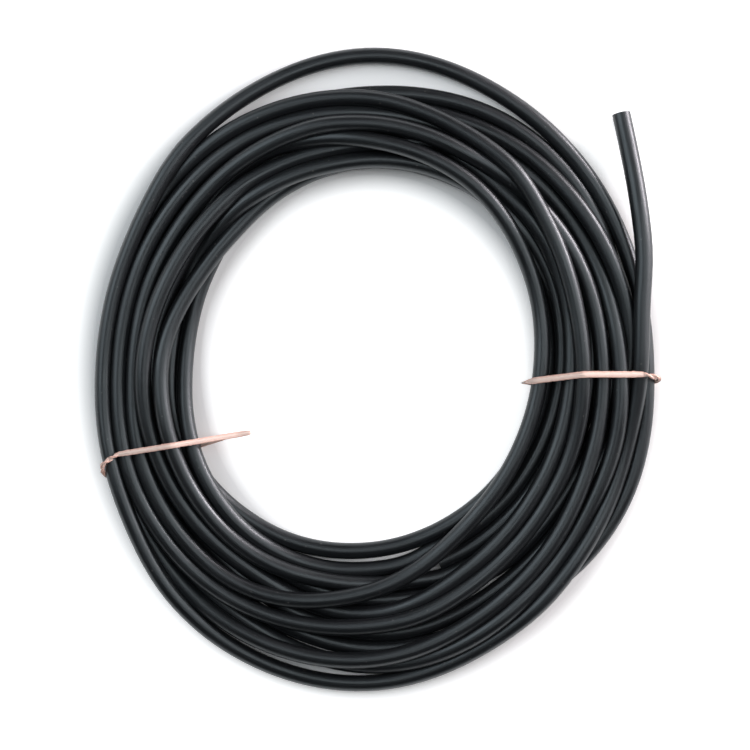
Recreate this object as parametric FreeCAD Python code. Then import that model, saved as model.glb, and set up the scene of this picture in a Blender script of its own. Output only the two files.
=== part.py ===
import FreeCAD
import Part
import math
import os

from FreeCAD import Vector

# A loose coil of small black garden hose, lying flat, held by two paper-covered wire ties.
# Sizes are in millimetres. The floor is z = 0, and the middle of the whole is on the Z axis.

# The hose: its section is a pipe's, drawn with flats
hose_od = 6.35
hose_bore = 4.3
hose_sides = 6
bed_cut = 0.1 * hose_od
open_bore_depth = 10.0
hidden_bore_depth = hose_od

# The ties: a flat strip with a wire inside, doubled back on itself and twisted shut
strip_width = 2.7
strip_thickness = 0.7
tie_clearance = 0.25
tail_bend = 1.0
fold_gap = 0.15
wire_thickness = 0.36
wire_sides = 4
wire_step = math.radians(25.0)
twist_width = 2.0
twist_thickness = 1.3
twist_turns = 1.5
twist_steps = 12
cut_end = 2.5

# How the turns are piled: a spiral in along the floor, and out again on top of it
turns_per_layer = 6
layer_gap = 0.5
climb_dip = 0.4
turns_middle = Vector(-0.5, 2.4, 0.0)
lift_over_tie = bed_cut + strip_thickness + 2 * tie_clearance
low_height = hose_od / 2 - bed_cut
high_height = low_height + hose_od + layer_gap

# The four places that shape every turn: the angle in degrees, the radius of slot 0, the gap
# between slots and how far the outermost turn strays where nothing holds it, each for the low
# and the high layer, and whether a tie passes under the hose there
stations = [
    {"angle": 0.0, "radius": (64.5, 64.5), "gap": (0.65, 0.65), "stray": (0.0, 0.0), "tied": True},
    {"angle": 92.0, "radius": (73.0, 76.5), "gap": (0.75, 0.85), "stray": (6.0, 3.0), "tied": False},
    {"angle": 190.0, "radius": (67.5, 67.5), "gap": (0.75, 1.0), "stray": (0.0, 0.0), "tied": True},
    {"angle": 268.0, "radius": (71.5, 75.3), "gap": (0.95, 1.35), "stray": (0.0, 12.0), "tied": False},
]

# The free end's corners after the coil, down to the floor beside it
free_end_corners = [
    Vector(102.5, 25.4, 11.2),
    Vector(104.4, 43.4, 10.9),
    Vector(102.3, 61.9, 9.4),
    Vector(99.4, 80.4, 6.0),
    Vector(95.5, 98.9, 3.3),
]
shorter_run_share = 0.45

# Each tie: the tip of its doubled tail, the shoulder where its top strand meets the twist, the
# foot where its lower strand does, and how far from the tip the upper and the lower strand part
ties = {
    "left": {"tip": Vector(-47.0, -24.7), "shoulder": Vector(-97.9, -33.0), "foot": Vector(-103.4, -41.2),
             "tail": (5.3, 9.5)},
    "right": {"tip": Vector(56.8, -5.7), "shoulder": Vector(103.7, -2.4), "foot": Vector(109.2, -5.1),
              "tail": (2.6, 1.6)},
}

point_spacing = 1.5


def between(low_and_high, share):
    """A value part of the way from one to another."""
    low, high = low_and_high
    return low + (high - low) * share


def station_radius(number, slot, layer):
    """The radius of the hose's centre line at a station, in one slot and layer."""
    station = stations[number % len(stations)]
    pitch = hose_od + between(station["gap"], layer)
    stray = between(station["stray"], layer) * max(slot / turns_per_layer, 0.0) ** 3
    return between(station["radius"], layer) + pitch * slot + stray


def station_point(number, slot, layer):
    """The hose's centre line at a station, counted from the right tie, in one slot and layer."""
    station = stations[number % len(stations)]
    lift = lift_over_tie if station["tied"] else 0.0
    height = between((low_height, high_height), layer) + lift
    return around(station_radius(number, slot, layer), station["angle"], height)


def around(radius, angle, height):
    """A point at a radius from the turns' middle, an angle in degrees and a height."""
    turned = math.radians(angle)
    return turns_middle + Vector(radius * math.cos(turned), radius * math.sin(turned), height)


def winding_points():
    """The stations in order, from two before the right tie on the floor to the same tie on top."""
    per_turn = len(stations)
    low_count = turns_per_layer * per_turn
    points = []
    for number in range(-2, low_count + 1):
        points.append(station_point(number, turns_per_layer - number / per_turn, 0.0))
    points.append(station_point(low_count + 1, -climb_dip, 0.5))
    first_high = low_count + per_turn // 2
    for step in range(low_count - per_turn // 2 + 1):
        points.append(station_point(first_high + step, step / per_turn, 1.0))
    return points


def circle_tangents(points):
    """The direction at each point of the circle that runs through it and its neighbours."""
    tangents = []
    for before, here, after in zip(points, points[1:], points[2:]):
        into = here - before
        out = after - here
        tangent = into * (out.Length / into.Length) + out * (into.Length / out.Length)
        tangents.append(tangent.normalize())
    first = mirrored(tangents[0], points[1] - points[0])
    last = mirrored(tangents[-1], points[-1] - points[-2])
    return [first] + tangents + [last]


def mirrored(tangent, chord):
    """The direction at the other end of an arc with this chord."""
    unit = Vector(chord).normalize()
    return unit * (2 * unit.dot(tangent)) - tangent


def arc_from(start, tangent, end):
    """The arc that leaves a point in a given direction and reaches another."""
    chord = end - start
    unit = Vector(chord).normalize()
    side = tangent - unit * unit.dot(tangent)
    turn = math.atan2(side.Length, unit.dot(tangent))
    middle = (start + end) / 2 + side.normalize() * (chord.Length / 2 * math.tan(turn / 2))
    return Part.Arc(start, middle, end).toShape()


def biarc(start, start_tangent, end, end_tangent):
    """Two tangent arcs between two points with given directions."""
    chord = end - start
    along = chord.dot(start_tangent + end_tangent)
    bend = 2 * (1 - start_tangent.dot(end_tangent))
    reach = (math.sqrt(along ** 2 + bend * chord.dot(chord)) - along) / bend
    joint = (start + start_tangent * reach + end - end_tangent * reach) / 2
    return [arc_from(start, start_tangent, joint), arc_from(end, end_tangent * -1, joint)]


def winding_path():
    """The coil's centre line: a biarc for each quarter turn, and straight ends of one diameter.

    The hidden end is half a quarter turn before the right tie, so its biarc has one arc left. The
    other end points at the free end's first corner.
    """
    points = winding_points()
    first = 2
    last = len(points) - 1
    tangents = circle_tangents(points)
    tangents[last] = (free_end_corners[0] - points[last]).normalize()
    edges = biarc(points[first - 1], tangents[first - 1], points[first], tangents[first])[1:]
    for index in range(first, last):
        edges += biarc(points[index], tangents[index], points[index + 1], tangents[index + 1])
    start = edges[0].Vertexes[-1].Point
    start_tangent = mirrored(tangents[first], points[first] - start)
    edges.insert(0, Part.makeLine(start - start_tangent * hose_od, start))
    edges.append(Part.makeLine(points[last], points[last] + tangents[last] * hose_od))
    return Part.Wire(Part.__sortEdges__(edges))


def points_along(path):
    """Points on a path, in order, about one spacing apart."""
    points = []
    for edge in path.OrderedEdges:
        piece = edge.discretize(max(2, math.ceil(edge.Length / point_spacing) + 1))
        if points and (piece[0] - points[-1]).Length > (piece[-1] - points[-1]).Length:
            piece.reverse()
        points += piece[1:] if points else piece
    return points


def least_gap(points):
    """The least space between two places on the hose that are more than a half turn apart."""
    cell = 2 * hose_od
    apart = math.pi * min(stations[0]["radius"]) / point_spacing
    cells = {}
    for number, point in enumerate(points):
        key = (math.floor(point.x / cell), math.floor(point.y / cell))
        cells.setdefault(key, []).append((number, point))
    least = cell
    for (column, row), members in cells.items():
        near = [other for across in (-1, 0, 1) for up in (-1, 0, 1)
                for other in cells.get((column + across, row + up), [])]
        for number, point in members:
            for other_number, other in near:
                if other_number - number > apart:
                    least = min(least, (point - other).Length)
    return least - hose_od


def polygon_across(centre, axis, radius, sides):
    """A closed polygon square to an axis, with a corner straight up."""
    level = axis.cross(Vector(0, 0, 1)).normalize()
    upright = level.cross(axis).normalize()
    corners = []
    for number in range(sides + 1):
        turn = 2 * math.pi * number / sides
        corners.append(centre + upright * (radius * math.cos(turn)) + level * (radius * math.sin(turn)))
    return Part.makePolygon(corners)


def swept(path, section, sharp=False):
    """A closed section carried along a path, as one solid."""
    pipe = Part.BRepOffsetAPI.MakePipeShell(path)
    if sharp:
        pipe.setTransitionMode(1)
    pipe.add(section)
    pipe.build()
    pipe.makeSolid()
    return pipe.shape()


def drilled(solid, mouth, inward, depth):
    """A solid with the hose's bore cut into one of its ends, from a diameter outside its mouth."""
    outside = mouth - inward * hose_od
    return solid.cut(Part.makeCylinder(hose_bore / 2, hose_od + depth, outside, inward)).Solids[0]


def hose_coil(path):
    """The wound hose, cut flat where it lies on the floor."""
    start = path.OrderedVertexes[0].Point
    inward = (path.OrderedVertexes[1].Point - start).normalize()
    wound = swept(path, polygon_across(start, inward, hose_od / 2, hose_sides))
    box = wound.BoundBox
    under = Part.makeBox(2 * box.XLength, 2 * box.YLength, hose_od, Vector(-box.XLength, -box.YLength, -hose_od))
    bedded = wound.cut(under).Solids[0]
    expected = polygon_area(hose_od / 2, hose_sides) * path.Length
    print("coil: %.0f mm long, volume %.0f against section times length %.0f" % (path.Length, wound.Volume, expected))
    return drilled(bedded, start, inward, hidden_bore_depth)


def polygon_area(radius, sides):
    return sides / 2 * radius ** 2 * math.sin(2 * math.pi / sides)


def rounded_edges(corners, radii):
    """Straight runs between corners, with a tangent arc of its own radius at each inner one."""
    edges = []
    start = corners[0]
    for before, corner, after, radius in zip(corners, corners[1:], corners[2:], radii):
        into = (corner - before).normalize()
        out = (after - corner).normalize()
        turn = into.getAngle(out)
        reach = radius * math.tan(turn / 2)
        bulge = radius / math.cos(turn / 2) - radius
        edges.append(Part.makeLine(start, corner - into * reach))
        middle = corner + (out - into).normalize() * bulge
        start = corner + out * reach
        edges.append(Part.Arc(corner - into * reach, middle, start).toShape())
    edges.append(Part.makeLine(start, corners[-1]))
    return edges


def free_end(coil, coil_end):
    """The stretch that stands free of the coil, from the coil's end face to the open end."""
    corners = [coil_end] + free_end_corners
    radii = []
    for before, corner, after in zip(corners, corners[1:], corners[2:]):
        turn = (corner - before).getAngle(after - corner)
        run = min((corner - before).Length, (after - corner).Length)
        radii.append(shorter_run_share * run / math.tan(turn / 2))
    path = Part.Wire(rounded_edges(corners, radii))
    face = min(coil.Faces, key=lambda each: (each.CenterOfMass - coil_end).Length)
    solid = swept(path, face.OuterWire)
    area = polygon_area(hose_od / 2, hose_sides)
    print("free end: %.0f mm long, radii %s, volume %.0f against section times length %.0f" % (
        path.Length, [round(radius) for radius in radii], solid.Volume, area * path.Length))
    return drilled(solid, corners[-1], (corners[-2] - corners[-1]).normalize(), open_bore_depth)


def crossings(points, origin, direction):
    """How far along and how high the hose crosses an upright plane."""
    across = Vector(-direction.y, direction.x, 0)
    found = []
    for here, there in zip(points, points[1:]):
        one = across.dot(here - origin)
        other = across.dot(there - origin)
        if (one < 0) != (other < 0):
            point = here + (there - here) * (one / (one - other))
            if direction.dot(point - origin) > 0:
                found.append((direction.dot(point - origin), point.z))
    middle = between((low_height, high_height), 0.5) + lift_over_tie
    low = [place for place in found if place[1] < middle]
    high = [place for place in found if place[1] >= middle]
    return low, high


def slope_corner(tail, centre, reach, level):
    """Where the line from the tail that touches a hose's round meets the level over or under it."""
    run = centre[0] - tail[0]
    rise = abs(centre[1] - tail[1])
    turn = math.atan2(rise, run) + math.asin(reach / math.hypot(run, rise))
    return (centre[0] - reach * math.tan(turn / 2), level)


def placed(origin, direction, flat_points):
    """Points of an upright plane, each a distance along and a height, in the model's space."""
    return [origin + direction * along + Vector(0, 0, height) for along, height in flat_points]


def wire_points(edges):
    """The corners that a wire takes along a path: its arcs are split, its runs are not."""
    points = [edges[0].Vertexes[0].Point]
    for edge in edges:
        arc = isinstance(edge.Curve, Part.Circle)
        steps = math.ceil(edge.Length / edge.Curve.Radius / wire_step) if arc else 1
        piece = edge.discretize(steps + 1)
        if (piece[0] - points[-1]).Length > (piece[-1] - points[-1]).Length:
            piece.reverse()
        points += piece[1:]
    return points


def strip_along(edges, level):
    """The flat strip along a path in an upright plane whose level direction is given."""
    path = Part.Wire(edges)
    start = path.OrderedVertexes[0].Point
    along = (path.OrderedVertexes[1].Point - start).normalize()
    wide = level * (strip_width / 2)
    thick = level.cross(along).normalize() * (strip_thickness / 2)
    section = Part.makePolygon([start + wide + thick, start - wide + thick, start - wide - thick,
                                start + wide - thick, start + wide + thick])
    pipe = Part.BRepOffsetAPI.MakePipeShell(path)
    pipe.setBiNormalMode(level)
    pipe.add(section)
    pipe.build()
    pipe.makeSolid()
    return pipe.shape()


def twist_between(start, end, level):
    """The two ends wound round each other: a doubled strip that turns as it goes, in flat facets."""
    axis = end - start
    along = Vector(axis).normalize()
    one = (level - along * along.dot(level)).normalize()
    two = along.cross(one)
    rings = []
    for step in range(twist_steps + 1):
        turn = 2 * math.pi * twist_turns * step / twist_steps
        wide = (one * math.cos(turn) + two * math.sin(turn)) * (twist_width / 2)
        thick = (two * math.cos(turn) - one * math.sin(turn)) * (twist_thickness / 2)
        centre = start + axis * (step / twist_steps)
        rings.append([centre + wide + thick, centre - wide + thick, centre - wide - thick, centre + wide - thick])
    faces = [flat_face(rings[0]), flat_face(rings[-1])]
    for ring, following in zip(rings, rings[1:]):
        for side in range(len(ring)):
            near = (side + 1) % len(ring)
            faces.append(flat_face([ring[side], ring[near], following[side]]))
            faces.append(flat_face([ring[near], following[near], following[side]]))
    return Part.makeSolid(Part.makeShell(faces))


def flat_face(corners):
    return Part.Face(Part.makePolygon(corners + corners[:1]))


def tie(hose_points, shape):
    """One tie: its strip and the wire inside, laid round the hoses that they hold."""
    reach = hose_od / 2 + tie_clearance + strip_thickness / 2
    fold = (strip_thickness + fold_gap) / 2
    upper_tail, lower_tail = shape["tail"]
    tip = shape["tip"]

    direction = (shape["shoulder"] - tip).normalize()
    low, high = crossings(hose_points, tip, direction)
    top = max(height for _, height in high) + reach
    bottom = min(height for _, height in low) - reach
    tail_height = (top + bottom) / 2
    inner, outer = min(high), max(high)
    lean = math.atan2(outer[1] - max(low)[1], max(low)[0] - outer[0])
    outward = (math.sin(lean), math.cos(lean))
    downward = (math.cos(lean), -math.sin(lean))
    touch = (outer[0] + reach * outward[0], outer[1] + reach * outward[1])
    tail = (upper_tail, tail_height + fold)
    flat = [(touch[0] + downward[0] * cut_end, touch[1] + downward[1] * cut_end),
            (outer[0] + reach * math.tan(lean / 2), top),
            slope_corner(tail, inner, reach, top),
            tail,
            (fold, tail_height + fold)]
    upper = rounded_edges(placed(tip, direction, flat), [reach, reach, tail_bend])
    turned, back, junction = placed(tip, direction, [(0, tail_height), (fold, tail_height - fold),
                                                     (lower_tail, tail_height - fold)])
    upper.append(Part.Arc(upper[-1].Vertexes[1].Point, turned, back).toShape())
    upper.append(Part.makeLine(back, junction))
    upper_level = Vector(-direction.y, direction.x, 0)
    upper_twist = placed(tip, direction, [(touch[0] + outward[0] * twist_width / 2,
                                           touch[1] + outward[1] * twist_width / 2)])[0]
    strip = strip_along(upper, upper_level)

    ground = Vector(junction.x, junction.y, 0)
    direction = (shape["foot"] - ground).normalize()
    low, high = crossings(hose_points, ground, direction)
    inner, outer = min(low), max(low)
    lean = math.atan2(max(high)[1] - outer[1], outer[0] - max(high)[0])
    outward = (math.sin(lean), math.cos(lean))
    downward = (math.cos(lean), -math.sin(lean))
    touch = (outer[0] + reach * outward[0], outer[1] + reach * outward[1])
    tail = (0.0, tail_height - fold)
    flat = [(-lower_tail / 2, tail[1]),
            tail,
            slope_corner(tail, inner, reach, bottom),
            (outer[0] + reach / math.tan(lean / 2), bottom),
            (touch[0] - downward[0] * cut_end, touch[1] - downward[1] * cut_end)]
    corners = placed(ground, direction, flat)
    lower_level = Vector(-direction.y, direction.x, 0)
    lower_twist = placed(ground, direction, [(touch[0] + outward[0] * twist_width / 2,
                                              touch[1] + outward[1] * twist_width / 2)])[0]
    strip = strip.fuse(strip_along(rounded_edges(corners, [tail_bend, reach, reach]), lower_level))
    strip = strip.fuse(twist_between(upper_twist, lower_twist, upper_level))

    route = wire_points(upper) + wire_points(rounded_edges(corners[1:], [reach, reach]))[1:]
    section = polygon_across(route[0], (route[1] - route[0]).normalize(), wire_thickness / 2, wire_sides)
    wire = swept(Part.makePolygon(route), section, sharp=True)
    return strip.cut(wire).removeSplitter().Solids[0], wire


def main():
    os.makedirs("parts", exist_ok=True)
    path = winding_path()
    hose_points = points_along(path)
    print("least gap in the coil: %.2f mm" % least_gap(hose_points))
    nodes = {"hose_coil": hose_coil(path)}
    nodes["hose_free_end"] = free_end(nodes["hose_coil"], path.OrderedVertexes[-1].Point)
    for side, shape in ties.items():
        nodes[side + "_tie_strip"], nodes[side + "_tie_wire"] = tie(hose_points, shape)
    for name, solid in nodes.items():
        print(name, "valid" if solid.isValid() else "NOT VALID", round(solid.Volume, 1), solid.BoundBox)
        solid.exportStep("parts/" + name + ".step")


main()
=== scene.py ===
import math

import bpy
import numpy as np
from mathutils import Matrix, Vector


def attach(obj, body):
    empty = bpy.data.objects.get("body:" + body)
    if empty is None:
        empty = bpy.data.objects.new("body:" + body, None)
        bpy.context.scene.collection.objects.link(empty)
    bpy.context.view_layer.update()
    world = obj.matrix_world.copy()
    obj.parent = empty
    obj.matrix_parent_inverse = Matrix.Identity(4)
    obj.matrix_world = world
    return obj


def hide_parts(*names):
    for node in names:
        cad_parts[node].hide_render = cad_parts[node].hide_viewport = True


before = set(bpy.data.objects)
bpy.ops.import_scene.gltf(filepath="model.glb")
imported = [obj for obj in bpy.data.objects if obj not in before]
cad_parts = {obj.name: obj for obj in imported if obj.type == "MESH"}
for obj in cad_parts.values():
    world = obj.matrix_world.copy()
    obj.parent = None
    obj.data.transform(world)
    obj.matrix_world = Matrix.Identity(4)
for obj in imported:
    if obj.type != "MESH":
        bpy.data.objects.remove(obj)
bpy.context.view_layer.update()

# Everything is in metres. The coil lies on the floor, seen straight from above, as in the photograph.
turnsMiddle = Vector((-0.0005, 0.0024, 0.0))

hose = {
    "diameter": 0.00635,
    "bore": 0.0043,
    "boreDepth": 0.012,
    "sides": 20,
    "lengthSteps": 3,          # rings between two points of the line
    "length": 7.13,
    "endFlare": [1.04, 1.08, 1.12, 1.13, 1.13],    # the free end is a little pressed wide
    "endCatch": (0.6, 0.00005),    # how many diameters from its centre, and how far from its plane,
                                   # an end's corners lie at most
    "sharpEdge": 40,           # degrees from which an edge stays sharp
}

# The turns from the first, under the pile, to the last, on top: the radius in millimetres every
# thirty degrees, counted from the right tie
turnRadii = [
    [78.2, 82.0, 82.8, 81.6, 79.3, 73.5, 72.2, 77.8, 81.8, 80.7, 76.2, 72.6],
    [72.0, 76.2, 78.2, 78.3, 78.5, 79.3, 78.5, 78.9, 76.6, 72.4, 68.9, 68.1],
    [68.1, 72.0, 80.5, 80.9, 76.6, 74.3, 81.2, 84.7, 87.4, 85.1, 85.1, 84.1],
    [85.1, 87.4, 88.9, 84.3, 82.8, 84.3, 87.8, 90.9, 93.6, 97.4, 87.0, 80.1],
    [77.8, 80.1, 84.3, 88.9, 85.5, 82.0, 85.1, 84.7, 86.6, 92.0, 92.8, 90.3],
    [93.6, 102.0, 105.9, 103.2, 101.6, 95.5, 94.7, 101.3, 110.1, 117.0, 110.5, 102.0],
    [95.7, 93.9, 92.8, 96.6, 98.6, 97.4, 97.4, 103.0, 106.1, 101.3, 91.2, 83.5],
    [80.3, 83.5, 92.4, 100.9, 104.1, 102.0, 100.9, 107.0, 114.7, 114.9, 104.3, 93.7],
    [88.7, 88.2, 87.8, 91.6, 92.4, 90.7, 92.8, 98.6, 100.1, 88.2, 72.8, 66.0],
    [65.6, 70.3, 78.9, 85.1, 90.9, 84.3, 83.2, 90.5, 96.2, 105.9, 99.5, 93.9],
    [99.3, 100.1, 99.7, 97.0, 94.3, 90.1, 88.9, 95.5, 104.3, 109.3, 110.1, 110.5],
    [105.5, 107.8, 113.4, 118.2, 112.0, 103.6, 102.4, 109.7, 121.3, 123.8, 113.4, 104.7],
]
# Which turn lies on which there: the higher number is on top
turnOrder = [
    [0, 0, 0, 0, 0, 0, 1, 5, 4, 2, 3, 4],
    [4, 3, 5, 4, 2, 1, 0, 0, 0, 0, 0, 0],
    [0, 0, 0, 0, 1, 4, 5, 5, 4, 3, 2, 0],
    [0, 0, 0, 3, 5, 6, 8, 6, 5, 4, 3, 1],
    [2, 3, 0, 0, 0, 3, 3, 0, 0, 0, 0, 0],
    [0, 0, 0, 0, 0, 0, 0, 0, 0, 1, 4, 3],
    [5, 5, 5, 5, 6, 7, 8, 9, 8, 7, 7, 8],
    [9, 10, 9, 9, 6, 1, 0, 1, 4, 6, 7, 7],
    [6, 5, 4, 5, 6, 4, 3, 4, 7.5, 9, 8, 8],
    [8, 8, 10, 8, 1, 0, 0, 0, 0, 0, 0, 0],
    [3, 3, 3, 0, 0, 0, 0, 0, 0, 1, 1, 1],
    [3, 4, 5, 6, 7, 8, 7, 6, 5, 6, 8, 9],
]
pile = {
    "planStep": 30.0,          # degrees between two radii above
    "startAngle": -72.0,       # where the hidden end lies
    "startRadii": [81.2, 80.5, 78.2],    # every thirty degrees before the first turn
    "endRadii": [103.4, 107.0],          # and after the last
    "endOrder": 9.0,
    "climb": 0.02,             # what each turn adds to the order
    "step": 1.5,               # degrees between two points that settle
    "perPoint": 4,             # and how many of these make one point of the line
    "touch": 0.93,             # how near two turns come, in diameters
    "ceiling": 0.0152,         # the highest that a centre lies,
    "startCeiling": 0.030,     # and the highest that it starts
    "rise": 0.0022,            # how high one step in the order starts
    "rounds": 400,
    "thin": 0.3,               # the share of its width that the hose starts with,
    "swollen": 0.6,            # and the share of the rounds in which it swells to all of it
    "sink": (0.00006, 0.00002),          # how far it sinks in a round, at first and at last
    "slowAfter": 0.75,         # the share of the rounds after which it sinks slowly
    "bending": ((1, 0.06), (4, 0.03), (8, 0.02)),    # its stiffness between points this many apart
    "partings": 2,             # how often a round parts the turns that cut each other,
    "parting": 1.2,            # and by how much of what they need
    "ownStretch": 0.035,       # nearer than this along the hose it doesn't touch itself
    "search": 0.004,           # turns planned further apart than this, past touching, never meet
    "hold": 0.09,              # how firmly the turns keep to the plan
    "tieAngles": [359.5, 201.5],
    "tieLift": 0.0011,         # how high a tie raises the lowest hose,
    "tieSpread": 11,           # and over how many degrees
    "eye": (0.001155, -0.0050, 0.95),    # the radii hold as seen from here, from the turns' middle,
    "seenHeight": 0.009,                 # at this height
}
# The free end's points, close to those in the part's source
freeEndPoints = [
    (0.1032, 0.0254, 0.0112),
    (0.1045, 0.0434, 0.0109),
    (0.1025, 0.0619, 0.0094),
    (0.0997, 0.0804, 0.0060),
    (0.0959, 0.0989, 0.0037),
]


def deselectAll():
    if bpy.context.object and bpy.context.object.mode != "OBJECT":
        bpy.ops.object.mode_set(mode="OBJECT")
    bpy.ops.object.select_all(action="DESELECT")


def smoothBetween(values, place):
    # a smooth curve through values that stand one apart
    first = min(max(int(math.floor(place)), 0), len(values) - 2)
    share = place - first
    before = values[max(first - 1, 0)]
    here, there = values[first], values[first + 1]
    after = values[min(first + 2, len(values) - 1)]
    bend = 2 * before - 5 * here + 4 * there - after
    bend += share * (3 * (here - there) + after - before)
    return here + 0.5 * share * (there - before + share * bend)


def plannedTurns():
    # the winding seen from above, and its order in the pile, before it settles
    radii = list(pile["startRadii"])
    order = [0.0] * len(radii)
    for turn, turnPlace in zip(turnRadii, turnOrder):
        radii += turn
        order += turnPlace
    radii += pile["endRadii"]
    order += [pile["endOrder"]] * len(pile["endRadii"])
    angles = np.arange(pile["startAngle"], 360.0 * len(turnRadii) + 0.001, pile["step"])
    places = angles / pile["planStep"] + len(pile["startRadii"])
    radius = np.array([smoothBetween(radii, place) for place in places]) / 1000
    rank = np.interp(places, range(len(order)), order) + pile["climb"] * angles / 360
    turned = np.radians(angles)
    return angles, np.column_stack([radius * np.cos(turned), radius * np.sin(turned)]), rank


def floorUnder(angles):
    # the hose's lowest centre height, raised where a tie passes under it
    height = np.full(len(angles), hose["diameter"] / 2)
    for tieAngle in pile["tieAngles"]:
        away = (angles - tieAngle + 180) % 360 - 180
        height += pile["tieLift"] * np.exp(-(away / pile["tieSpread"]) ** 2)
    return height


def settledTurns():
    # the turns start thin and in their order, then swell, touch, bend and sink like a hose;
    # only pairs of points that can meet are looked at
    angles, plan, rank = plannedTurns()
    touch = pile["touch"] * hose["diameter"]
    floor = floorUnder(angles)
    eye = np.array(pile["eye"][:2])
    steps = np.linalg.norm(np.diff(plan, axis=0), axis=1)
    along = np.concatenate([[0], np.cumsum(steps)])
    apart = ((plan[:, None] - plan[None]) ** 2).sum(-1)
    other = np.abs(along[:, None] - along[None]) > pile["ownStretch"]
    one, two = np.nonzero(np.triu(other & (apart < (touch + pile["search"]) ** 2)))
    height = np.minimum(floor + pile["rise"] * rank, pile["startCeiling"])
    points = np.column_stack([plan, height])
    fastSink, slowSink = pile["sink"]
    for roundNumber in range(pile["rounds"]):
        share = roundNumber / pile["rounds"]
        grown = touch * min(1.0, pile["thin"] + (1 - pile["thin"]) * share / pile["swollen"])
        points[:, 2] -= slowSink if share > pile["slowAfter"] else fastSink
        nearer = (pile["eye"][2] - points[:, 2:]) / (pile["eye"][2] - pile["seenHeight"])
        points[:, :2] += pile["hold"] * (eye + (plan - eye) * nearer - points[:, :2])
        for reach, stiffness in pile["bending"]:
            moved = points.copy()
            moved[:, :2] -= plan
            bend = (moved[:-4 * reach] - 4 * moved[reach:-3 * reach] + 6 * moved[2 * reach:-2 * reach]
                    - 4 * moved[3 * reach:-reach] + moved[4 * reach:])
            points[2 * reach:-2 * reach] -= stiffness * bend
        for _ in range(pile["partings"]):
            between = points[one] - points[two]
            distance = np.sqrt((between ** 2).sum(1))
            hit = distance < grown
            push = between[hit] * ((grown - distance[hit]) / np.maximum(distance[hit], 1e-6) / 2)[:, None]
            here, there = one[hit], two[hit]
            count = np.bincount(here, minlength=len(points)) + np.bincount(there, minlength=len(points))
            move = np.column_stack([np.bincount(here, push[:, axis], len(points))
                                    - np.bincount(there, push[:, axis], len(points)) for axis in range(3)])
            points += pile["parting"] * move / np.maximum(count, 1)[:, None]
            points[:, 2] = np.clip(points[:, 2], floor, pile["ceiling"])
    nearest = np.sqrt(((points[one] - points[two]) ** 2).sum(1)).min()
    print("turns settled: nearest %.2f mm, highest %.2f mm" % (nearest * 1000, points[:, 2].max() * 1000))
    return points


def hoseLine():
    # one open line: the settled turns, then the free end
    settled = settledTurns()
    chosen = settled[::pile["perPoint"]]
    linePoints = [turnsMiddle + Vector(point) for point in chosen]
    linePoints += [Vector(point) for point in freeEndPoints]
    bpy.ops.curve.primitive_nurbs_path_add(radius=0.1, location=(0, 0, 0))
    line = bpy.context.object
    line.data.splines.clear()
    spline = line.data.splines.new("NURBS")
    spline.points.add(len(linePoints) - 1)
    for point, place in zip(spline.points, linePoints):
        point.co = (place.x, place.y, place.z, 1.0)
    for point, flare in zip(spline.points[-len(freeEndPoints):], hose["endFlare"]):
        point.radius = flare
    spline.order_u = 3
    spline.use_endpoint_u = True
    line.data.resolution_u = hose["lengthSteps"]
    line.data.twist_mode = "MINIMUM"
    return line


def pathOf(line):
    # the points that Blender makes of the line, without its width
    bare = bpy.data.meshes.new_from_object(line)
    points = [vertex.co.copy() for vertex in bare.vertices]
    bpy.data.meshes.remove(bare)
    return points


def meshFromCurve(line):
    deselectAll()
    line.select_set(True)
    bpy.context.view_layer.objects.active = line
    bpy.ops.object.convert(target="MESH")
    return bpy.context.object


def selectVertices(mesh, chosen):
    for elements in (mesh.vertices, mesh.edges, mesh.polygons):
        for element in elements:
            element.select = False
    for index in chosen:
        mesh.vertices[index].select = True


def measureTube(mesh, section, name):
    # keeps, at every point of a swept piece, how far along it lies and where on its section
    sides = len(section)
    count = len(mesh.vertices) // sides
    places = np.empty(len(mesh.vertices) * 3)
    mesh.vertices.foreach_get("co", places)
    rings = places.reshape(-1, 3)[:count * sides].reshape(count, sides, 3)
    centres = rings.mean(1)
    along = np.concatenate([[0], np.cumsum(np.linalg.norm(np.diff(centres, axis=0), axis=1))])
    kept = np.zeros((len(mesh.vertices), 3))
    kept[:count * sides, :2] = np.tile(np.array(section), (count, 1))
    kept[:count * sides, 2] = np.repeat(along, sides)
    attribute = mesh.attributes.new(name, "FLOAT_VECTOR", "POINT")
    attribute.data.foreach_set("vector", kept.ravel())


def openEnd(piece, centre, outward):
    # turns a tube's open ring into a cut wall with a bore
    mesh = piece.data
    fromCentre, fromPlane = hose["endCatch"]
    near = [v for v in mesh.vertices if (v.co - centre).length < hose["diameter"] * fromCentre]
    ring = [v.index for v in near if abs((v.co - centre).dot(outward)) < fromPlane]
    selectVertices(mesh, ring)
    bpy.ops.object.mode_set(mode="EDIT")
    bpy.ops.mesh.select_mode(type="VERT")
    bpy.ops.mesh.extrude_region_move()
    share = hose["bore"] / hose["diameter"]
    bpy.ops.transform.resize(value=(share, share, share), center_override=centre)
    bpy.ops.mesh.extrude_region_move(TRANSFORM_OT_translate={"value": outward * -hose["boreDepth"]})
    bpy.ops.mesh.edge_face_add()
    bpy.ops.object.mode_set(mode="OBJECT")


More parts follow.
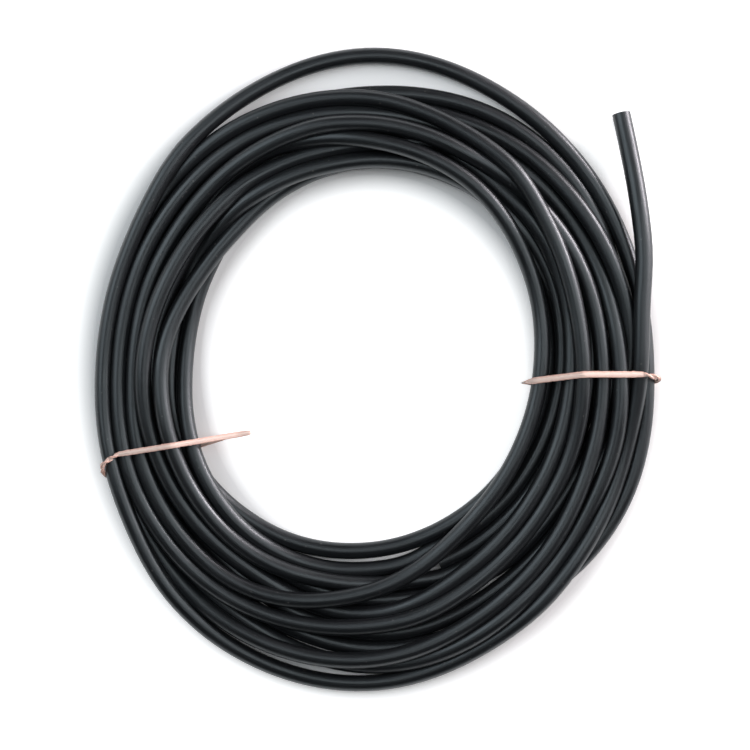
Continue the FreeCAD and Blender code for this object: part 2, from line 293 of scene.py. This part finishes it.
def makeHose():
    line = hoseLine()
    path = pathOf(line)
    line.data.bevel_depth = hose["diameter"] / 2
    line.data.bevel_resolution = hose["sides"] // 2 - 2
    piece = meshFromCurve(line)
    piece.name = "gardenHose"
    turned = [2 * math.pi * side / hose["sides"] for side in range(hose["sides"])]
    measureTube(piece.data, [(math.cos(part), math.sin(part)) for part in turned], "hoseSurface")
    openEnd(piece, path[-1], (path[-1] - path[-2]).normalized())
    openEnd(piece, path[0], (path[0] - path[1]).normalized())
    bpy.ops.object.shade_smooth_by_angle(angle=math.radians(hose["sharpEdge"]))
    length = sum((there - here).length for here, there in zip(path, path[1:]))
    print("hose made: %.3f m long, %d faces" % (length, len(piece.data.polygons)))
    return piece, path


# The ties: a flat strip with a wire inside, doubled back into a tail at the coil's inner side and
# twisted shut on its outer side. Places are seen from above, in metres: the tail's tip, and where
# the upper and the lower strand meet the twist. The tails say how far from the tip the strands part,
# and pointed is the tip's width as a share of the whole.
ties = {
    "left": {"tip": (-0.0470, -0.0247), "shoulder": (-0.0979, -0.0330), "foot": (-0.1034, -0.0412),
             "upperTail": 0.0053, "lowerTail": 0.0095, "bow": 0.0, "width": 0.0022, "pointed": 0.75},
    "right": {"tip": (0.0568, -0.0057), "shoulder": (0.1037, -0.0024), "foot": (0.1092, -0.0051),
              "upperTail": 0.0026, "lowerTail": 0.0022, "bow": 0.0016, "width": 0.0025, "pointed": 0.15},
}
strip = {
    "thickness": 0.0006,
    "ridge": 1.1,              # the thickness of the profile's middle, in thicknesses
    "clearance": 0.00012,
    "foldGap": 0.0002,
    "foldTurns": (0.9, 0.3, -0.3, -0.9),    # places round the tail's fold, in radians
    "spacing": 0.0005,         # between two points of its line
    "softening": 3,            # rounds that smooth its line
    "profile": [
        (-0.5, 0.0), (-0.47, 0.30), (-0.40, 0.45), (-0.20, 0.30), (-0.10, 0.42), (0.0, 0.55), (0.10, 0.42),
        (0.20, 0.30), (0.40, 0.45), (0.47, 0.30), (0.5, 0.0), (0.47, -0.30), (0.40, -0.45), (0.20, -0.30),
        (0.10, -0.42), (0.0, -0.55), (-0.10, -0.42), (-0.20, -0.30), (-0.40, -0.45), (-0.47, -0.30),
    ],
    "longest": 0.09,           # hoses further than this from the tail's tip aren't held
    "corners": 60,             # of the round that stands for a hose where the band passes it
    "pointLength": 0.0045,     # over which the tail widens from its tip,
    "neckLength": 0.0035,      # and over which the band narrows to the twist,
    "neckWidth": 0.8,          # to this share of its width
    "uneven": 0.035,           # how much its width wavers,
    "waves": (0.9, 0.23),      # in two waves of this many radians from point to point
    "sharpEdge": 50,           # degrees from which an edge stays sharp
    "wire": 0.00036,
}
twist = {
    "turns": 1.75,
    "radius": 0.00043,
    "startRadius": 0.6,        # at its ends, as a share of the radius,
    "opening": 5,              # which it reaches after one part in this many of its length
    "width": 0.46,             # the strip is crushed narrower and thicker where it is twisted
    "thickness": 0.00078,
    "gap": 0.0002,             # between it and the hose that it lies on,
    "leaving": 6,              # which it reaches after one part in this many
    "spacing": 0.0002,         # between two points of its line
    "softening": 4,            # rounds that smooth its line
    "bulge": (0.004, 0.003),   # how far out and up the line starts before it is pulled tight
    "feels": 0.03,             # hose further than this from its start isn't felt
    "rounds": 240,
    "lowest": 0.0011,          # how near the floor its line comes
}


def crossingsOf(path, origin, direction):
    # how far along and how high the hose passes through an upright plane
    across = Vector((-direction.y, direction.x, 0))
    found = []
    for here, there in zip(path, path[1:]):
        one, other = across.dot(here - origin), across.dot(there - origin)
        if (one < 0) != (other < 0):
            point = here + (there - here) * (one / (one - other))
            away = direction.dot(point - origin)
            if 0 < away < strip["longest"]:
                found.append((away, point.z))
    return found


def tautBand(circles, tail, reach, upper):
    # the line of a band pulled from the tail over, or under, the hoses to the outer side
    points = {tail}
    for away, height in circles:
        for part in range(strip["corners"]):
            turn = 2 * math.pi * part / strip["corners"]
            points.add((away + reach * math.cos(turn), height + reach * math.sin(turn)))
    side = 1 if upper else -1
    chain = []
    for point in sorted(points):
        while len(chain) > 1:
            (ax, az), (bx, bz) = chain[-2], chain[-1]
            if side * ((bx - ax) * (point[1] - az) - (bz - az) * (point[0] - ax)) < 0:
                break
            chain.pop()
        chain.append(point)
    return chain


def cutAt(chain, away):
    # the chain up to a chosen distance from its start
    kept = [point for point in chain if point[0] < away]
    for (ax, az), (bx, bz) in zip(chain, chain[1:]):
        if ax < away <= bx:
            kept.append((away, az + (bz - az) * (away - ax) / (bx - ax)))
    return kept


def evenly(points, spacing):
    # the same line with its points a set distance apart
    along = [0.0]
    for here, there in zip(points, points[1:]):
        along.append(along[-1] + (there - here).length)
    count = max(int(along[-1] / spacing), 2)
    spread, place = [], 0
    for step in range(count + 1):
        wanted = along[-1] * step / count
        while place < len(points) - 2 and along[place + 1] < wanted:
            place += 1
        share = (wanted - along[place]) / max(along[place + 1] - along[place], 1e-9)
        spread.append(points[place].lerp(points[place + 1], min(max(share, 0), 1)))
    return spread


def softened(points, rounds):
    # each point drawn half-way to the middle between its neighbours
    for _ in range(rounds):
        threes = zip(points, points[1:], points[2:])
        inner = [(before + here * 2 + after) / 4 for before, here, after in threes]
        points = [points[0]] + inner + [points[-1]]
    return points


def tautFlank(start, end, path, firstReach, reach):
    # a string pulled tight from the upper band to the lower one, outside the hoses
    near = np.array([point for point in path if (point - start).length < twist["feels"]], dtype=float)
    outward, upward = twist["bulge"]
    middle = start.lerp(end, 0.5) + Vector((math.copysign(outward, start.x), 0, upward))
    here = np.array(evenly([start, middle, end], twist["spacing"]), dtype=float)
    places = np.linspace(0, 1, len(here))
    left = np.clip(np.minimum(places, 1 - places) * twist["leaving"], 0, 1)
    wanted = firstReach + (reach - firstReach) * left
    for _ in range(twist["rounds"]):
        here[1:-1] = (here[:-2] + 2 * here[1:-1] + here[2:]) / 4
        between = here[:, None] - near[None]
        nearest = np.argmin((between ** 2).sum(-1), axis=1)
        centre = near[nearest]
        along = near[np.minimum(nearest + 1, len(near) - 1)] - near[np.maximum(nearest - 1, 0)]
        along /= np.maximum(np.linalg.norm(along, axis=1), 1e-9)[:, None]
        away = here - centre
        away -= along * (away * along).sum(1)[:, None]
        distance = np.maximum(np.linalg.norm(away, axis=1), 1e-9)
        push = np.maximum(wanted - distance, 0) * (places > 0) * (places < 1)
        here += away / distance[:, None] * push[:, None]
        here[1:-1, 2] = np.maximum(here[1:-1, 2], twist["lowest"])
    return softened(evenly([Vector(point) for point in here], twist["spacing"]), twist["softening"])


def tieLines(shape, path):
    # the band's line over the hoses, round the tail and back under them, and the flank
    # between its ends
    reach = hose["diameter"] / 2 + strip["clearance"] + strip["thickness"] / 2
    fold = (strip["thickness"] * strip["ridge"] + strip["foldGap"]) / 2
    tip = Vector((*shape["tip"], 0))
    shoulder = Vector((*shape["shoulder"], 0))
    direction = (shoulder - tip).normalized()
    sideways = Vector((-direction.y, direction.x, 0))
    if sideways.y < 0:
        sideways = -sideways
    circles = crossingsOf(path, tip, direction)
    top = max(height for _, height in circles) + reach
    bottom = min(height for _, height in circles) - reach
    tailHeight = 0.5 * (top + bottom)
    upper = tautBand(circles, (shape["upperTail"], tailHeight + fold), reach, True)
    upper = cutAt(upper, (shoulder - tip).length)
    length = upper[-1][0]
    over = []
    for away, height in [(fold, tailHeight + fold)] + upper:
        bow = shape["bow"] * math.sin(math.pi * away / length)
        over.append(tip + direction * away + sideways * bow + Vector((0, 0, height)))
    turn = []
    for part in strip["foldTurns"]:
        height = tailHeight + fold * math.sin(part)
        turn.append(tip + direction * (fold - fold * math.cos(part)) + Vector((0, 0, height)))
    junction = tip + direction * shape["lowerTail"]
    foot = Vector((*shape["foot"], 0))
    lowerWay = (foot - junction).normalized()
    lowerCircles = crossingsOf(path, junction, lowerWay)
    lower = tautBand(lowerCircles, (0.0, tailHeight - fold), reach, False)
    lower = cutAt(lower, (foot - junction).length)
    under = [tip + direction * fold + Vector((0, 0, tailHeight - fold))]
    under += [junction + lowerWay * away + Vector((0, 0, height)) for away, height in lower]
    band = list(reversed(over)) + turn + under
    band = softened(evenly(band, strip["spacing"]), strip["softening"])
    return band, tautFlank(band[0], band[-1], path, reach, reach + twist["radius"] + twist["gap"])


def stripCurve(name, runs):
    # one curve object with a spline for each run of the strip: its points, its widths and its turning
    bpy.ops.curve.primitive_nurbs_path_add(radius=0.1, location=(0, 0, 0))
    line = bpy.context.object
    line.name = name
    line.data.splines.clear()
    line.data.twist_mode = "MINIMUM"
    for points, widths, tilts in runs:
        spline = line.data.splines.new("POLY")
        spline.points.add(len(points) - 1)
        for point, place, width, tilt in zip(spline.points, points, widths, tilts):
            point.co = (place.x, place.y, place.z, 1.0)
            point.radius = width
            point.tilt = tilt
    return line


def twistRuns(flank):
    # the two ends wound round each other along the flank
    runs = []
    for phase in (0.0, math.pi):
        points, widths, tilts = [], [], []
        for step, place in enumerate(flank):
            share = step / (len(flank) - 1)
            before, after = flank[max(step - 1, 0)], flank[min(step + 1, len(flank) - 1)]
            along = (after - before).normalized()
            one = along.cross(Vector((0, 0, 1))).normalized()
            two = along.cross(one)
            turn = 2 * math.pi * twist["turns"] * share + phase
            opened = min(1.0, twist["opening"] * share, twist["opening"] * (1 - share))
            spread = twist["radius"] * (twist["startRadius"] + (1 - twist["startRadius"]) * opened)
            points.append(place + (one * math.cos(turn) + two * math.sin(turn)) * spread)
            widths.append(1.0)
            tilts.append(turn)
        runs.append((points, widths, tilts))
    return runs


def bandWidths(band, tip, pointed):
    # full width over the hoses, narrower at the tail's fold and where the twist begins
    quick, slow = strip["waves"]
    widths = []
    for step, place in enumerate(band):
        fromTip = (place.xy - tip).length
        width = pointed + (1 - pointed) * min(1.0, fromTip / strip["pointLength"])
        fromEnd = min(step, len(band) - 1 - step) * strip["spacing"]
        width *= strip["neckWidth"] + (1 - strip["neckWidth"]) * min(1.0, fromEnd / strip["neckLength"])
        waver = math.sin(step * quick) * math.sin(step * slow)
        widths.append(width * (1 + strip["uneven"] * waver))
    return widths


def stripProfile(width, thickness):
    # the strip's own section, a flat paper band raised along its middle by the wire
    bpy.ops.curve.primitive_nurbs_circle_add(radius=0.001, location=(0, 0, 0))
    section = bpy.context.object
    section.data.splines.clear()
    section.data.dimensions = "2D"
    spline = section.data.splines.new("POLY")
    spline.points.add(len(strip["profile"]) - 1)
    for point, (across, thick) in zip(spline.points, strip["profile"]):
        point.co = (across * width, thick * thickness, 0, 1)
    spline.use_cyclic_u = True
    return section


def sweptStrip(name, runs, width, thickness):
    section = stripProfile(width, thickness)
    line = stripCurve(name, runs)
    line.data.bevel_mode = "OBJECT"
    line.data.bevel_object = section
    line.data.use_fill_caps = True
    piece = meshFromCurve(line)
    bpy.data.objects.remove(section)
    measureTube(piece.data, strip["profile"], "tieSurface")
    bpy.ops.object.shade_smooth_by_angle(angle=math.radians(strip["sharpEdge"]))
    return piece


def makeTie(side, shape, path):
    # the flat band and the twisted pair joined into one piece, then the wire along the same line
    band, flank = tieLines(shape, path)
    width = shape["width"]
    flat = [(band, bandWidths(band, Vector(shape["tip"]), shape["pointed"]), [0.0] * len(band))]
    cover = sweptStrip(side + "TieStrip", flat, width, strip["thickness"])
    rope = sweptStrip(side + "TieTwist", twistRuns(flank), width * twist["width"], twist["thickness"])
    deselectAll()
    rope.select_set(True)
    cover.select_set(True)
    bpy.context.view_layer.objects.active = cover
    bpy.ops.object.join()

    wirePath = list(reversed(flank)) + band[1:-1] + list(reversed(flank))
    wire = stripCurve(side + "TieWire", [(wirePath, [1.0] * len(wirePath), [0.0] * len(wirePath))])
    wire.data.bevel_depth = strip["wire"] / 2
    wire.data.bevel_resolution = 1
    wire.data.use_fill_caps = True
    core = meshFromCurve(wire)
    bpy.ops.object.shade_smooth()
    bandLength = len(band) * strip["spacing"] * 1000
    print(side, "tie made: %d faces, band %.0f mm" % (len(cover.data.polygons), bandLength))
    return cover, core


noiseRange = (0.3, 0.7)        # what a noise's values mostly lie between


def newMaterial(name):
    material = bpy.data.materials.new(name)
    material.use_nodes = True
    nodes = material.node_tree.nodes
    return material, nodes, material.node_tree.links, nodes["Principled BSDF"]


def noiseOn(nodes, links, place, scale, detail):
    noise = nodes.new("ShaderNodeTexNoise")
    noise.inputs["Scale"].default_value = scale
    noise.inputs["Detail"].default_value = detail
    links.new(place, noise.inputs["Vector"])
    return noise.outputs["Fac"]


def surfaceNoise(nodes, links, attribute, stretch, detail):
    # noise laid along a swept piece: stretched by its section and its length
    place = nodes.new("ShaderNodeAttribute")
    place.attribute_name = attribute
    scale = nodes.new("ShaderNodeMapping")
    scale.inputs["Scale"].default_value = stretch
    links.new(place.outputs["Vector"], scale.inputs["Vector"])
    return noiseOn(nodes, links, scale.outputs["Vector"], 1.0, detail)


def ramp(nodes, links, source, places, colours):
    # two colours and what is between them
    tone = nodes.new("ShaderNodeValToRGB")
    for element, position, colour in zip(tone.color_ramp.elements, places, colours):
        element.position = position
        element.color = (*colour, 1)
    links.new(source, tone.inputs["Fac"])
    return tone.outputs["Color"]


def remap(nodes, links, source, fromMin, fromMax, toMin, toMax):
    span = nodes.new("ShaderNodeMapRange")
    span.inputs["From Min"].default_value = fromMin
    span.inputs["From Max"].default_value = fromMax
    span.inputs["To Min"].default_value = toMin
    span.inputs["To Max"].default_value = toMax
    links.new(source, span.inputs["Value"])
    return span.outputs["Result"]


def calculate(nodes, links, operation, *values):
    # one step of arithmetic on sockets and plain numbers
    result = nodes.new("ShaderNodeMath")
    result.operation = operation
    for socket, value in zip(result.inputs, values):
        if isinstance(value, float):
            socket.default_value = value
        else:
            links.new(value, socket)
    return result.outputs["Value"]


def bumpFrom(nodes, links, height, strength, distance, under=None):
    bump = nodes.new("ShaderNodeBump")
    bump.inputs["Strength"].default_value = strength
    bump.inputs["Distance"].default_value = distance
    links.new(height, bump.inputs["Height"])
    if under:
        links.new(under, bump.inputs["Normal"])
    return bump.outputs["Normal"]


rubber = {
    "dark": (0.0040, 0.0043, 0.0050),
    "light": (0.0080, 0.0086, 0.0098),
    "toneSpan": (0.3, 0.75),   # where in the streaks the dark and the light tone stand
    "dust": (0.11, 0.105, 0.10),
    "density": 1.6,            # the rubber's refraction, which sets how much it mirrors
    "sheen": (0.86, 0.95, 1.0),
    "roughness": (0.30, 0.44),
    "streaks": (7.0, 7.0, 22.0),         # how fine across and along the hose
    "scuffs": (1.6, 1.6, 60.0),
    "specks": 210,             # how close the specks of dust lie,
    "speckFade": (0.03, 0.09, 0.5, 0.0),    # from and to where they fade, and how strong they are
    "grain": 1100,
    "streakBump": (0.10, 0.0006),        # strength and height
    "grainBump": (0.07, 0.0003),
}


def rubberMaterial():
    material, nodes, links, shader = newMaterial("blackHoseRubber")
    streaks = surfaceNoise(nodes, links, "hoseSurface", rubber["streaks"], 4)
    scuffs = surfaceNoise(nodes, links, "hoseSurface", rubber["scuffs"], 5)
    body = ramp(nodes, links, streaks, rubber["toneSpan"], (rubber["dark"], rubber["light"]))
    place = nodes.new("ShaderNodeTexCoord")
    specks = nodes.new("ShaderNodeTexVoronoi")
    specks.inputs["Scale"].default_value = rubber["specks"]
    links.new(place.outputs["Object"], specks.inputs["Vector"])
    dusty = remap(nodes, links, specks.outputs["Distance"], *rubber["speckFade"])
    colour = nodes.new("ShaderNodeMix")
    colour.data_type = "RGBA"
    links.new(dusty, colour.inputs["Factor"])
    links.new(body, colour.inputs["A"])
    colour.inputs["B"].default_value = (*rubber["dust"], 1)
    links.new(colour.outputs["Result"], shader.inputs["Base Color"])
    links.new(remap(nodes, links, scuffs, *noiseRange, *rubber["roughness"]), shader.inputs["Roughness"])
    shader.inputs["Specular Tint"].default_value = (*rubber["sheen"], 1)
    shader.inputs["IOR"].default_value = rubber["density"]
    grain = noiseOn(nodes, links, place.outputs["Object"], rubber["grain"], 3)
    lined = bumpFrom(nodes, links, streaks, *rubber["streakBump"])
    links.new(bumpFrom(nodes, links, grain, *rubber["grainBump"], lined), shader.inputs["Normal"])
    return material


covering = {
    # the colour across the strip: a lighter middle and a darker edge, which is painted shade on its
    # rounded edges
    "middle": (0.90, 0.69, 0.61),
    "edge": (0.74, 0.44, 0.36),
    "toneSpan": (0.30, 0.66),  # how far out from the middle these two stand
    "roughness": (0.38, 0.60),
    "creases": (5.0, 2.0, 900.0),        # how fine across, through and along the strip
    "lines": (16.0, 3.0, 120.0),
    "blotches": 0.35,          # how much the creases shift the colour
    "bump": (0.35, 0.0004),
}


def tieMaterial():
    # painted shade: paler along the strip's middle and darker, pinker towards its edges, as light falls
    # across its rounded section
    material, nodes, links, shader = newMaterial("pinkTieCovering")
    place = nodes.new("ShaderNodeAttribute")
    place.attribute_name = "tieSurface"
    split = nodes.new("ShaderNodeSeparateXYZ")
    links.new(place.outputs["Vector"], split.inputs["Vector"])
    side = calculate(nodes, links, "ABSOLUTE", split.outputs["X"])
    creases = surfaceNoise(nodes, links, "tieSurface", covering["creases"], 4)
    lines = surfaceNoise(nodes, links, "tieSurface", covering["lines"], 3)
    uneven = calculate(nodes, links, "MULTIPLY_ADD", creases, covering["blotches"], side)
    colour = ramp(nodes, links, uneven, covering["toneSpan"], (covering["middle"], covering["edge"]))
    links.new(colour, shader.inputs["Base Color"])
    links.new(remap(nodes, links, lines, *noiseRange, *covering["roughness"]), shader.inputs["Roughness"])
    lined = bumpFrom(nodes, links, lines, *covering["bump"])
    links.new(bumpFrom(nodes, links, creases, *covering["bump"], lined), shader.inputs["Normal"])
    return material


steel = {
    "dull": (0.26, 0.255, 0.25),
    "bright": (0.52, 0.52, 0.53),
    "toneSpan": (0.35, 0.65),
    "roughness": (0.28, 0.48),
    "cloud": 900,              # how fine its dull patches are
}


def wireMaterial():
    material, nodes, links, shader = newMaterial("tieSteelWire")
    place = nodes.new("ShaderNodeTexCoord")
    cloud = noiseOn(nodes, links, place.outputs["Object"], steel["cloud"], 4)
    colour = ramp(nodes, links, cloud, steel["toneSpan"], (steel["dull"], steel["bright"]))
    links.new(colour, shader.inputs["Base Color"])
    links.new(remap(nodes, links, cloud, *noiseRange, *steel["roughness"]), shader.inputs["Roughness"])
    shader.inputs["Metallic"].default_value = 1.0
    return material


def finishPiece(piece, material, slot, *nodeNames):
    piece.data.materials.clear()
    piece.data.materials.append(material)
    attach(piece, "root")
    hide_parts(*nodeNames)


hosePiece, hosePath = makeHose()
finishPiece(hosePiece, rubberMaterial(), "hose_rubber", "hose_coil", "hose_free_end")

tieCover, tieWire = tieMaterial(), wireMaterial()
for side, shape in ties.items():
    cover, core = makeTie(side, shape, hosePath)
    finishPiece(cover, tieCover, "tie_covering", side + "_tie_strip")
    finishPiece(core, tieWire, "tie_steel", side + "_tie_wire")

studio = {
    "viewHeight": 0.95,
    "viewWidth": 0.28875,      # how much the picture takes in at the height where the radii are seen
    "middle": (0.000655, -0.0026),
    "sensor": 36,              # in millimetres
    "floorSize": 30,
    "backdropRadius": 14,
    "backdropHeight": 2.8,
    "backdropSides": 96,
    "pale": (0.93, 0.93, 0.93),
    "roughness": 0.9,
    "ringRadius": 0.0985,      # the coil's mean radius,
    "ringShape": (1.12, 1, 1),           # and how much longer it is than wide
    "paintedRingShade": (0.023, 0.032, 0.02, 0.60),    # how far from the ring the glow rises, and from and to what: painted shade along the coil's ring, dark in the gaps between its turns
    "farGlow": (0.2, 0.8, 0.0, 0.38),          # and the same away from the middle
    "skyColour": (0.9, 0.95, 1.0),
    "sky": 0.04,
    "lamps": {                 # each one's place, size, power and colour
        "windowLight": ((-0.735, 0.424, 0.85), (1.0, 1.0), 8.0, (0.90, 0.96, 1.0)),
        "ceilingLight": ((0.334, 0.122, 0.881), (0.45, 0.9), 2.7, (0.96, 0.99, 1.0)),
        "sideLight": ((0.95, 0.35, 0.45), (0.9, 0.8), 8.0, (1.0, 0.97, 0.98)),
        "warmLight": ((0.95, 0.6, 0.16), (0.5, 0.3), 15, (1.0, 0.86, 0.88)),
    },
}


def makeCamera():
    data = bpy.data.cameras.new("topCamera")
    camera = bpy.data.objects.new("topCamera", data)
    bpy.context.collection.objects.link(camera)
    camera.location = (*studio["middle"], studio["viewHeight"])
    data.sensor_width = studio["sensor"]
    data.lens = studio["sensor"] * (studio["viewHeight"] - pile["seenHeight"]) / studio["viewWidth"]
    data.clip_start = 0.01
    bpy.context.scene.camera = camera


def backgroundMaterial():
    # pale, and glowing where it is seen away from the coil, so that the background is white; along the
    # coil's ring the glow falls almost to nothing, which paints shade under the coil and in the gaps
    # between its turns, and the floor keeps the shadow
    material, nodes, links, shader = newMaterial("paleFloor")
    shader.inputs["Base Color"].default_value = (*studio["pale"], 1)
    shader.inputs["Roughness"].default_value = studio["roughness"]
    place = nodes.new("ShaderNodeTexCoord")
    oval = nodes.new("ShaderNodeMapping")
    oval.inputs["Scale"].default_value = studio["ringShape"]
    links.new(place.outputs["Object"], oval.inputs["Vector"])
    distance = nodes.new("ShaderNodeVectorMath")
    distance.operation = "LENGTH"
    links.new(oval.outputs["Vector"], distance.inputs[0])
    fromMiddle = distance.outputs["Value"]
    fromRing = calculate(nodes, links, "SUBTRACT", fromMiddle, studio["ringRadius"])
    # painted shade: the glow is weakest along the coil's ring
    near = remap(nodes, links, calculate(nodes, links, "ABSOLUTE", fromRing), *studio["paintedRingShade"])
    far = remap(nodes, links, fromMiddle, *studio["farGlow"])
    glow = nodes.new("ShaderNodeEmission")
    links.new(calculate(nodes, links, "ADD", near, far), glow.inputs["Strength"])
    dark = nodes.new("ShaderNodeEmission")
    dark.inputs["Strength"].default_value = 0.0
    path = nodes.new("ShaderNodeLightPath")
    seen = calculate(nodes, links, "MAXIMUM", path.outputs["Is Camera Ray"], path.outputs["Is Glossy Ray"])
    seen = calculate(nodes, links, "MAXIMUM", seen, path.outputs["Is Transmission Ray"])
    pick = nodes.new("ShaderNodeMixShader")
    links.new(seen, pick.inputs["Fac"])
    links.new(dark.outputs["Emission"], pick.inputs[1])
    links.new(glow.outputs["Emission"], pick.inputs[2])
    add = nodes.new("ShaderNodeAddShader")
    links.new(shader.outputs["BSDF"], add.inputs[0])
    links.new(pick.outputs["Shader"], add.inputs[1])
    links.new(add.outputs["Shader"], nodes["Material Output"].inputs["Surface"])
    return material


def makeFloor():
    # a floor, and far off a round wall that low views see above it
    material = backgroundMaterial()
    deselectAll()
    bpy.ops.mesh.primitive_plane_add(size=studio["floorSize"], location=(0, 0, 0))
    floor = bpy.context.object
    floor.name = "paleFloor"
    floor.data.materials.append(material)
    height = studio["backdropHeight"]
    bpy.ops.mesh.primitive_cylinder_add(vertices=studio["backdropSides"], radius=studio["backdropRadius"],
                                        depth=height, end_fill_type="NOTHING", location=(0, 0, height / 2))
    backdrop = bpy.context.object
    backdrop.name = "paleBackdrop"
    backdrop.data.materials.append(material)


def areaLight(name, place, size, power, colour):
    data = bpy.data.lights.new(name, "AREA")
    data.shape = "RECTANGLE"
    data.size, data.size_y = size
    data.energy = power
    data.color = colour
    light = bpy.data.objects.new(name, data)
    bpy.context.collection.objects.link(light)
    light.location = place
    light.rotation_euler = (Vector((0, 0, 0)) - Vector(place)).to_track_quat("-Z", "Y").to_euler()


def makeLight():
    world = bpy.data.worlds.new("studio")
    bpy.context.scene.world = world
    world.use_nodes = True
    sky = world.node_tree.nodes["Background"]
    sky.inputs["Color"].default_value = (*studio["skyColour"], 1)
    sky.inputs["Strength"].default_value = studio["sky"]
    for name, (place, size, power, colour) in studio["lamps"].items():
        areaLight(name, place, size, power, colour)


makeCamera()
makeFloor()
makeLight()
bpy.context.scene.view_settings.view_transform = "Standard"
print("camera, floor and light made")
